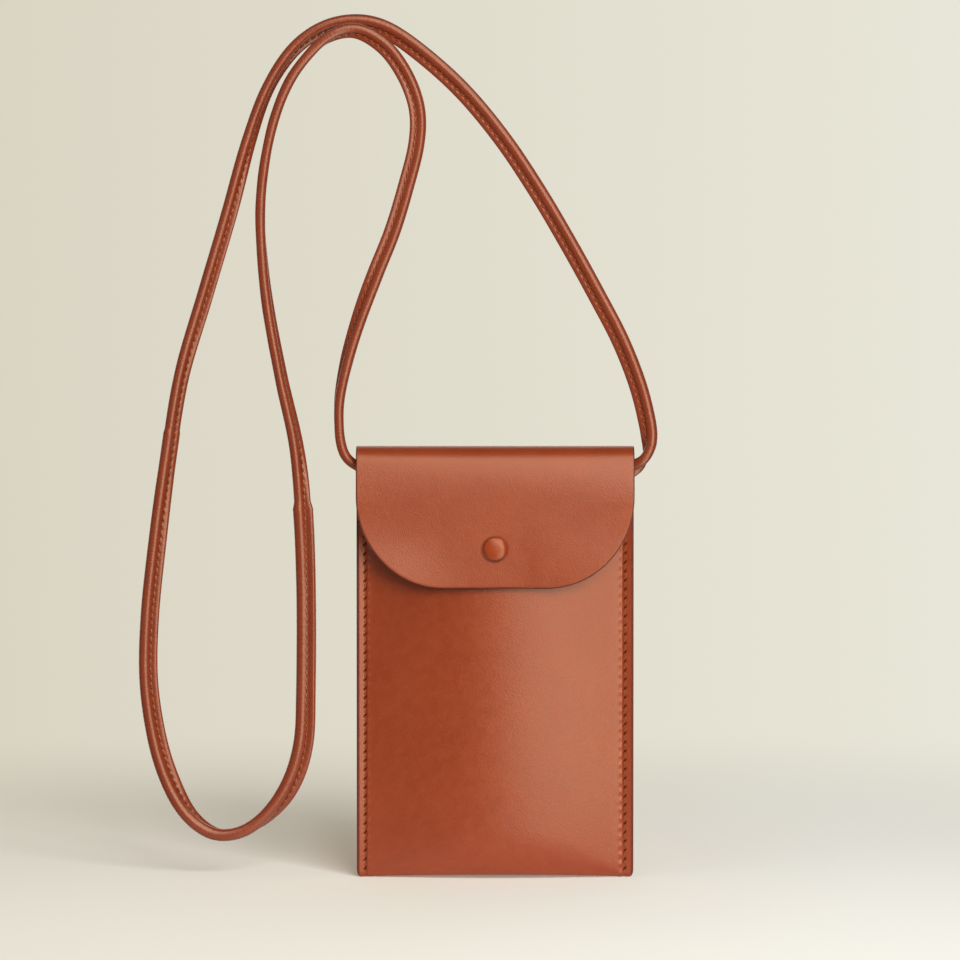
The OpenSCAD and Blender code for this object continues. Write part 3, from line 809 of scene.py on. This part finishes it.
def pocketRelief(look):
    def relief(place, normal):
        x, z = place[:, 0], place[:, 2]
        gap = np.abs(x) - look["seam"]
        inSeam = smooth((look["mouth"] + 1 - z) / 2) * np.where(np.abs(normal[:, 1]) > 0.6, 1, 0.2) * (gap > -5)
        facing = np.where(normal[:, 1] < 0, 1.0, 0.6)
        # the thread draws a valley; outside it the flange slopes forward again to its painted edge
        flange = np.clip(1 - gap / look["flange"], -0.3, 1)
        dip = -look["valley"] * np.where(gap < 0, hump(gap, 0.85), flange) * facing
        slit, dark = slitRelief(x, z, look)
        end, endDark = endHoles(x, z, endLook)
        onBack = normal[:, 1] > 0.9
        stud = np.hypot(x, z - flapLook["capZ"])
        depth = (dip + slit) * inSeam + end * onBack - 0.14 * hump(stud - 4.6, 1.0) * (normal[:, 1] < -0.9)
        # the second value is painted shade in the slits of the seams and in the holes of the strap's ends
        return depth, dark * (inSeam > 0.9) + endDark * onBack
    return relief


def endHoles(x, z, look):
    # the stitches of the strap's ends show on the back, in a shallow groove, with painted shade in their holes
    x = np.abs(x)
    depth, dark = np.zeros(len(x)), np.zeros(len(x))
    inRow = (x > tabLook["inner"]) & (x < tabLook["outer"])
    k = np.clip(np.round((look["firstX"] - x) / look["pitch"]), 0, look["stitches"])
    for row in look["rows"]:
        hole = hump(x - look["firstX"] + k * look["pitch"], 0.45) * hump(z - row, 0.5) * inRow
        depth -= 0.35 * hole + look["groove"] * hump(z - row, 0.6) * inRow
        dark += hole
    return depth, np.clip(dark, 0, 1)


def softDepth(x, look):
    # two nearly flat slopes that meet in a soft ridge, eased into the flat flange at the stitch line
    ridge = look["ridge"]
    span = np.sqrt((x / look["swellWidth"]) ** 2 + ridge ** 2) - ridge
    inside = look["depth"] * (1 - span / (math.sqrt(1 + ridge ** 2) - ridge))
    return np.clip(0.5 * (inside + np.sqrt(inside ** 2 + 0.36)) - 0.006, 0.02, None)


def pocketMiddle(look):
    half = look["thickness"] / 2
    front, foot, under, heel, back = look["runs"]
    spans = np.cumsum(look["runs"])

    def middle(x, s):
        bulge = softDepth(x, look)
        share = bulge / look["depth"]
        corner = look["cornerRadius"]
        over = np.clip(np.abs(x) - (look["halfWidth"] - corner), 0, corner)
        lift = corner - np.sqrt(corner ** 2 - over ** 2)
        base = half + lift + look["footArch"] * np.clip(1 - (x / 54) ** 2, 0, 1)
        frontY = look["frontY"] - bulge
        wide, high, rear = half + 0.25 * bulge, half + 18 * share ** 0.8, half + 0.8 * share
        # how far along each of its five stretches the hide is
        down = np.minimum(s / front, 1)
        round1, flat, round2 = (np.clip((s - start) / run, 0, 1)
                                for start, run in zip(spans, (foot, under, heel)))
        round1, round2 = round1 * math.pi / 2, round2 * math.pi / 2
        up = np.maximum((s - spans[3]) / back, 0)
        y = (frontY + wide * (1 - np.cos(round1)) + (look["backY"] - rear - frontY - wide) * flat
             + rear * np.sin(round2))
        z = (look["mouth"] + (base + high - look["mouth"]) * down - high * np.sin(round1)
             + rear * (1 - np.cos(round2)) + (look["split"] - base - rear) * up)
        pillow = look["pillow"] * share * hump(z - 44, 30) * np.clip((z - base) / high, 0, 1)
        return np.column_stack([x, np.where(s <= spans[1], y - pillow, y), z])
    return middle, spans


def spread(*stops):
    # even steps between stops given as (value, step from there on)
    values = [stops[0][0]]
    for (a, step), stop in zip(stops, stops[1:]):
        count = max(1, int(round((stop[0] - a) / step)))
        values += list(np.linspace(a, stop[0], count + 1)[1:])
    return np.array(values)


def mirrored(values):
    return np.concatenate([-values[::-1], values[values > 1e-6]])


def makePocket(look):
    middle, spans = pocketMiddle(look)
    half = look["halfWidth"]
    columns = mirrored(spread((0, 3.0), (48, 1.0), (50.1, 0.6), (54.3, 1.7), (half, 1)))
    rows = spread(*zip((0, 1.8, *spans), (1.8, 1.8, 1.5, 1.75, 0.5, 1.8, 1)))
    refine = [
        (4, lambda x, s: 50.1 < abs(x) < 54.3),  # the seams
        (3, lambda x, s: 32 < abs(x) < 49 and s > spans[3] + 150),  # the stitches of the strap's ends
        (2, lambda x, s: math.hypot(x, s * (spans[0] + 23) / spans[0] - 23.2) < 7 and s < 60),  # the stud
    ]
    work = flatSheet(columns, [rows] * len(columns), (True, False), look["rounding"], refine)
    mesh, final = shapeSheet("pocketHide", work, middle, pocketRelief(look))
    rim = [middle(np.full(900, side * half), np.linspace(0, spans[-1], 900)) for side in (-1, 1)]
    rim.append(middle(np.linspace(-half, half, 300), np.zeros(300)))
    markEdgeGap(mesh, final, rim)
    pocket = addObject("pocketHide", mesh, grain, paint, flesh)
    return dressPiece(pocket, "pouch", "hide", "back_panel", "front_panel")


pocket = makePocket(hideLook)
print("pocket is shaped:", len(pocket.data.polygons), "faces")


def flapLow(x, look, hide):
    inner = hide["halfWidth"] - look["cornerWide"]
    over = np.clip((np.abs(x) - inner) / look["cornerWide"], 0, 1)
    ripple = 0.13 * np.sin(x / 4 + 0.4) * hump(x - 3, 9)
    return look["drop"] + look["cornerHigh"] * (1 - np.sqrt(1 - over ** 2)) + ripple


def flapMiddle(look, hide):
    tight = look["crownRadius"]
    brow = math.radians(look["browAngle"])
    turn = math.pi - brow
    startZ = look["crownZ"] - tight
    rise = startZ - hide["split"]
    crownY = hide["backY"] - tight
    browY, browZ = crownY + tight * math.cos(turn), startZ + tight * math.sin(turn)
    browS = rise + tight * turn
    # down the brow the slope fades out, so the light on it fades too
    length = (browY - look["frontY"]) * (look["browFade"] + 1) / brow
    parts = 600
    part = np.linspace(0, 1, parts + 1)
    slope = brow * (1 - part[:-1] - 0.5 / parts) ** look["browFade"]
    forward, fall = (np.concatenate([[0], np.cumsum(way(slope))]) for way in (np.sin, np.cos))
    browLine = browY + forward * (look["frontY"] - browY) / forward[-1]
    browFall = browZ - fall * length / parts
    browRun = browS + part * length
    bowZ, below, above = look["bowSpan"]
    curlZ, curlReach = look["curlSpan"]

    def middle(x, s):
        angle = np.clip((s - rise) / tight, 0, turn)
        y = crownY + tight * np.cos(angle)
        z = np.where(s < rise, hide["split"] + s, startZ + tight * np.sin(angle))
        y = np.where(s > browS, np.interp(s, browRun, browLine), y)
        z = np.where(s > browS, np.interp(s, browRun, browFall), z)
        bow = look["browBow"] * (x / hide["halfWidth"]) ** 2
        y = y + bow * hump(z - bowZ, np.where(z < bowZ, below, above)) * (y < 4)
        down = np.clip(s - browRun[-1], 0, None)
        z = z - down
        curl = np.where(x < 0, *look["curls"]) * smooth((np.abs(x) - 10) / 42) * smooth((curlZ - z) / curlReach) ** 2
        # the hide sags a little between its ends, so the flap isn't quite flat
        sag = 0.22 * np.sin(x / 17 + 0.8) * smooth(down / 18) * smooth((np.abs(x) - 9) / 12)
        return np.column_stack([x, y - curl - sag, z])
    return middle, browRun[-1] - look["spreadFrom"], browFall[-1] + look["spreadFrom"]


def flapRelief(look):
    def relief(place, normal):
        x, z = place[:, 0], place[:, 2]
        gap = np.hypot(x, z - look["capZ"])
        front, onBack = normal[:, 1] < -0.9, normal[:, 1] > 0.6
        end, endDark = endHoles(x, z, endLook)
        depth = -0.1 * hump(gap - 4.7, 0.5) * front + end * onBack
        # painted shadow of the cap: a dark ring on the hide, set off to the left and downwards where the cap's shadow
        # falls
        ring = 0.8 * hump(np.hypot(x + 0.42, z - look["capZ"] + 0.36) - 4.75, 0.55) * front
        return depth, endDark * onBack + ring
    return relief


def makeFlap(look, hide):
    middle, foldEnd, flatZ = flapMiddle(look, hide)
    half, wide = hide["halfWidth"], look["cornerWide"]

    def cornerX(count):
        return half - wide * (1 - np.cos(np.linspace(0, math.pi / 2, count)))

    columns = mirrored(np.sort(np.concatenate([np.linspace(0, half - wide, 12), cornerX(27)[:-1]])))
    head = spread((0, 1.0), (2, 0.9), (foldEnd, 1))
    share = 1 - (1 - np.linspace(0, 1, 31)[1:]) ** 1.15
    rows = [np.concatenate([head, foldEnd + share * (flatZ - z)]) for z in flapLow(columns, look, hide)]
    refine = [
        (3, lambda x, s: math.hypot(x, flatZ - (s - foldEnd) - look["capZ"]) < 8.5),  # round the cap
        (3, lambda x, s: 32 < abs(x) < 49 and s < 3),  # the stitches of the strap's ends
    ]
    work = flatSheet(columns, rows, (False, True), look["rounding"], refine, inset=1.3 * look["rounding"])
    mesh, final = shapeSheet("flapHide", work, middle, flapRelief(look))
    rimX = np.concatenate([cornerX(200), np.linspace(wide - half, half - wide, 120), -cornerX(200)])
    rim = [middle(rimX, foldEnd + flatZ - flapLow(rimX, look, hide))]
    rim += [middle(np.full(200, side * half), np.linspace(0, foldEnd + 11, 200)) for side in (-1, 1)]
    markEdgeGap(mesh, final, rim)
    flap = addObject("flapHide", mesh, grain, paint, flesh)
    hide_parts("flap_fold", "flap")
    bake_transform(flap)
    return flap


flap = makeFlap(flapLook, hideLook)
print("flap is shaped:", len(flap.data.polygons), "faces")

seamStitchLook = {"width": 0.66, "length": 2.55, "rise": 0.12, "sink": 0.42, "lift": 0.12}
endStitchLook = {"width": 0.6, "length": 2.9, "rise": 0.14, "sink": 0.3}


def sewSeam(name, side, look, hide, node):
    half = hide["thickness"] / 2
    frontY = hide["frontY"] - half + hide["valley"] - look["lift"]
    backY = hide["backY"] + half - 0.6 * hide["valley"] + look["lift"]
    heights = hide["firstHole"] + (np.arange(hide["holes"] - 1) + 0.5) * hide["pitch"]
    stitches = [((side * hide["seam"], y, z), (0.1, 0, 1), (0, facing, 0))
                for z in heights for facing, y in ((-1, frontY), (1, backY))]
    return dressPiece(sewStitches(name, stitches, look), "pouch", "thread", node)


def sewEnd(name, side, look, seam, node):
    backY = hideLook["backY"] + hideLook["thickness"] / 2 - seam["groove"]
    stitches = [((side * (seam["firstX"] - (k + 0.5) * seam["pitch"]), y, z), (1, 0, 0), (0, facing, 0))
                for z in seam["rows"] for k in range(seam["stitches"])
                for facing, y in ((-1, tabLook["front"]), (1, backY))]
    return dressPiece(sewStitches(name, stitches, look), "pouch", "thread", node)


for side, hand in hands:
    sewSeam(hand + "SeamStitches", side, seamStitchLook, hideLook, hand + "_seam_thread")
for side, hand in hands:
    sewEnd(hand + "EndStitches", side, endStitchLook, endLook, hand + "_end_thread")
print("seams are sewn")

capLook = {
    "frontY": -8.7,
    # (radius, height) of the turned profile, from the pole of the dome to the end of the hollow shank
    "dome": [
        (0, 1.6), (0.9, 1.59), (1.9, 1.54), (2.8, 1.42), (3.5, 1.23), (4.05, 0.98), (4.42, 0.72), (4.66, 0.46),
        (4.75, 0.2), (4.7, 0.02), (4.55, -0.18), (4.2, -0.3),
    ],
    "shank": [
        (1.5, -0.3), (1.5, -1.2), (1.5, -2.38), (1.78, -2.4), (1.93, -2.48), (1.95, -2.58), (1.8, -2.65),
        (1.3, -2.65), (1.12, -2.55), (1.1, -2.2), (1.1, -1.0), (0, -0.9),
    ],
    "sides": 64,
}


def makeCap(look, height):
    radius, high = np.array(look["dome"] + look["shank"]).T
    angle = 2 * math.pi * np.arange(look["sides"]) / look["sides"]
    rings = np.stack([
        np.outer(radius, np.cos(angle)),
        np.outer(look["frontY"] - high, np.ones(look["sides"])),
        height + np.outer(radius, np.sin(angle)),
    ], -1)
    # the profile begins and ends on the axis; its dome is enamelled and its shank is bare brass
    bare = np.arange(len(radius) - 3)[:, None] >= len(look["dome"]) - 2
    mesh = loftMesh("snapCap", rings[1:-1], wall=bare, fans=(0, 1), tips=(rings[0, 0], rings[-1, 0]))
    return dressPiece(addObject("snapCap", mesh, enamel, brass), "flap", "cap", "snap_cap")


makeCap(capLook, flapLook["capZ"])
for name, metal in (("snap_socket", brass), ("snap_stud", brass), ("snap_post", brass), ("snap_spring", steel)):
    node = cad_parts[name]
    node.data.materials.clear()
    node.data.materials.append(metal)
print("press stud is fitted")

stageLook = {
    "paper": "#F2F2EC",
    "radius": 4000,
    # painted light: the paper glows, which keeps it pale under low lamps and lightens and warms the pouch's shadow on
    # it;
    # its tone and level on the left and, over a span of the floor in mm, on the right
    "paintedGlow": (("#F4E2C2", 0.155), ("#EEF0EE", 0.2)),
    "paintedGlowSpan": (-30, 150),
    # painted shade: the backdrop is darker on the left, away from the lamps
    "backdrop": ("#DAD4C3", "#E8E6D8"),  # darker on the left of the picture than on its right
    "fade": (100, 720),  # how far out the paper goes over into the backdrop
    "cloth": (70, 200),  # from where black cloth covers the paper out of sight
    # level of the room's light, and how much it grows to the right, the back and upwards
    "ambient": (0.18, (-0.13, -0.15, 0.0)),
    "ambientTint": "#FFF8EC",
    "wallLevel": 1.1,  # a pale wall behind, which lights the back alone
    "wallSpan": (0.6, 0.85),
    # what the leather mirrors: a white panel that stands from the middle to the right and arches over the pouch
    "panelLevel": 2.3,
    "panelTint": "#FFFED9",
    "panelEdge": (-0.16, 0.42),  # over which it comes up, to the right and upwards
    "panelArch": 0.62,  # how much upwards counts in that
    # where it ends: on the far right, overhead, so that the crown of the fold mirrors the dark, and behind
    "panelEnds": {"X": (0.62, 0.8), "Z": (0.8, 0.95), "Y": (-0.2, 0.1)},
    # soft boxes: place, size and power
    "lamps": {
        "keyLight": ((450, -1490, 590), (850, 750), 20.3),
        "fillLight": ((-1200, -900, 500), (700, 700), 0.4),
    },
    "lampAim": (0, 0, 130),
    "lampTint": "#FFFEFC",
}


# the backdrop's tone, with painted shade that darkens it towards the left
def backdropTone(tree, look, across):
    share = addNode(tree, "ShaderNodeMapRange", {"Value": across, "From Min": -0.08, "From Max": 0.08})
    left, right = look["backdrop"]
    return addNode(tree, "ShaderNodeMix", {0: share, 6: left, 7: right}, data_type="RGBA").outputs[2]


# Matt seamless paper with a painted glow: it takes the pouch's shadow near by and goes over into the backdrop's tone
# further out
def seamlessPaper(look):
    material, tree = newMaterial("seamless paper")
    place = addNode(tree, "ShaderNodeTexCoord").outputs["Object"]
    reach = addNode(tree, "ShaderNodeVectorMath", {0: place}, operation="LENGTH").outputs["Value"]
    seen = addNode(tree, "ShaderNodeLightPath").outputs["Is Camera Ray"]
    x, y = addNode(tree, "ShaderNodeSeparateXYZ", {0: place}).outputs[:2]
    away = addNode(tree, "ShaderNodeMath", {0: y, 1: 2.5}, operation="ADD")
    away = addNode(tree, "ShaderNodeMath", {0: away, 1: 1.2}, operation="MAXIMUM")
    across = addNode(tree, "ShaderNodeMath", {0: x, 1: away}, operation="DIVIDE")
    # with the cloth, only the paper near the pouch lights it and is mirrored in it
    far, covered, rightward = (
        addNode(tree, "ShaderNodeMapRange", {
            "Value": value, "From Min": look[key][0] * mm, "From Max": look[key][1] * mm,
        }, interpolation_type=kind)
        for value, key, kind in ((reach, "fade", "SMOOTHSTEP"), (reach, "cloth", "LINEAR"), (x, "paintedGlowSpan", "LINEAR"))
    )
    # the paper's painted glow, warmer on the left where the pouch's shadow falls
    (leftTone, leftPaintedGlow), (rightTone, rightPaintedGlow) = look["paintedGlow"]
    paintedGlowTone = addNode(tree, "ShaderNodeMix", {0: rightward, 6: leftTone, 7: rightTone}, data_type="RGBA")
    paintedGlowLevel = addNode(tree, "ShaderNodeMath", {
        0: rightward, 1: rightPaintedGlow - leftPaintedGlow, 2: leftPaintedGlow,
    }, operation="MULTIPLY_ADD")
    paintedGlowShader = addNode(tree, "ShaderNodeEmission", {"Color": paintedGlowTone.outputs[2], "Strength": paintedGlowLevel})
    matt = addNode(tree, "ShaderNodeBsdfDiffuse", {"Color": look["paper"], "Roughness": 0.4})
    paper = addNode(tree, "ShaderNodeAddShader", {0: matt, 1: paintedGlowShader})
    backdrop = addNode(tree, "ShaderNodeEmission", {"Color": backdropTone(tree, look, across)})
    cloth = addNode(tree, "ShaderNodeBsdfTransparent")
    unseen = addNode(tree, "ShaderNodeMath", {0: 1.0, 1: seen}, operation="SUBTRACT")
    surface = paper
    for share, ray, over in ((far, seen, backdrop), (covered, unseen, cloth)):
        share = addNode(tree, "ShaderNodeMath", {0: share, 1: ray}, operation="MULTIPLY")
        surface = addNode(tree, "ShaderNodeMixShader", {0: share, 1: surface, 2: over})
    addNode(tree, "ShaderNodeOutputMaterial", {"Surface": surface})
    return material


def makeStage(look):
    work = bmesh.new()
    bmesh.ops.create_circle(work, cap_ends=True, cap_tris=False, radius=look["radius"] * mm, segments=96)
    mesh = bpy.data.meshes.new("paperFloor")
    work.to_mesh(mesh)
    work.free()
    floor = addObject("paperFloor", mesh, seamlessPaper(look))

    world = bpy.data.worlds.new("studio")
    bpy.context.scene.world = world
    world.use_nodes = True
    tree = world.node_tree
    tree.nodes.clear()
    light = addNode(tree, "ShaderNodeLightPath").outputs
    toward = addNode(tree, "ShaderNodeTexCoord").outputs["Generated"]
    way = addNode(tree, "ShaderNodeSeparateXYZ", {0: toward}).outputs

    middle, slope = look["ambient"]
    lean = addNode(tree, "ShaderNodeVectorMath", {0: toward, 1: slope}, operation="DOT_PRODUCT").outputs["Value"]
    room = addNode(tree, "ShaderNodeMath", {0: lean, 1: middle}, operation="ADD")
    room = addNode(tree, "ShaderNodeMath", {0: room, 1: 0.02}, operation="MAXIMUM")
    above = addNode(tree, "ShaderNodeMath", {0: way["Z"], 1: -0.1}, operation="MAXIMUM")
    edge = addNode(tree, "ShaderNodeMath", {0: above, 1: look["panelArch"], 2: way["X"]}, operation="MULTIPLY_ADD")
    spans = [(edge, look["panelEdge"], 0.0, look["panelLevel"])]
    spans += [(way[side], span, 1.0, 0.0) for side, span in look["panelEnds"].items()]
    spans += [(way["Y"], look["wallSpan"], 0.0, look["wallLevel"])]
    level, *ends, wallLevel = (
        addNode(tree, "ShaderNodeMapRange", {
            "Value": value, "From Min": span[0], "From Max": span[1], "To Min": start, "To Max": end,
        }, interpolation_type="SMOOTHSTEP")
        for value, span, start, end in spans
    )
    for end in ends:
        level = addNode(tree, "ShaderNodeMath", {0: level, 1: end}, operation="MULTIPLY")
    level = addNode(tree, "ShaderNodeMath", {0: level, 1: 0.05}, operation="ADD")
    soft, panel, wall, shown = (
        addNode(tree, "ShaderNodeBackground", {"Color": tone, "Strength": strength})
        for tone, strength in (
            (look["ambientTint"], room), (look["panelTint"], level), (look["ambientTint"], wallLevel),
            (backdropTone(tree, look, way["X"]), 1.0),
        )
    )
    soft, panel = (addNode(tree, "ShaderNodeAddShader", {0: side, 1: wall}) for side in (soft, panel))
    result = addNode(tree, "ShaderNodeMixShader", {0: light["Is Glossy Ray"], 1: soft, 2: panel})
    result = addNode(tree, "ShaderNodeMixShader", {0: light["Is Camera Ray"], 1: result, 2: shown})
    addNode(tree, "ShaderNodeOutputWorld", {0: result})


def softbox(name, place, size, power, look):
    data = bpy.data.lights.new(name, "AREA")
    data.shape = "RECTANGLE"
    data.size, data.size_y = (v * mm for v in size)
    data.energy = power
    data.color = linear(look["lampTint"])[:3]
    lamp = addObject(name, data)
    lamp.location = Vector(place) * mm
    lamp.rotation_euler = (Vector(look["lampAim"]) - Vector(place)).to_track_quat("-Z", "Y").to_euler()
    lamp.visible_glossy = False  # the leather mirrors the panel, not the lamps behind their cloth


makeStage(stageLook)
for name, lamp in stageLook["lamps"].items():
    softbox(name, *lamp, stageLook)
bpy.context.scene.view_settings.view_transform = "Standard"
print("stage and lights are set")
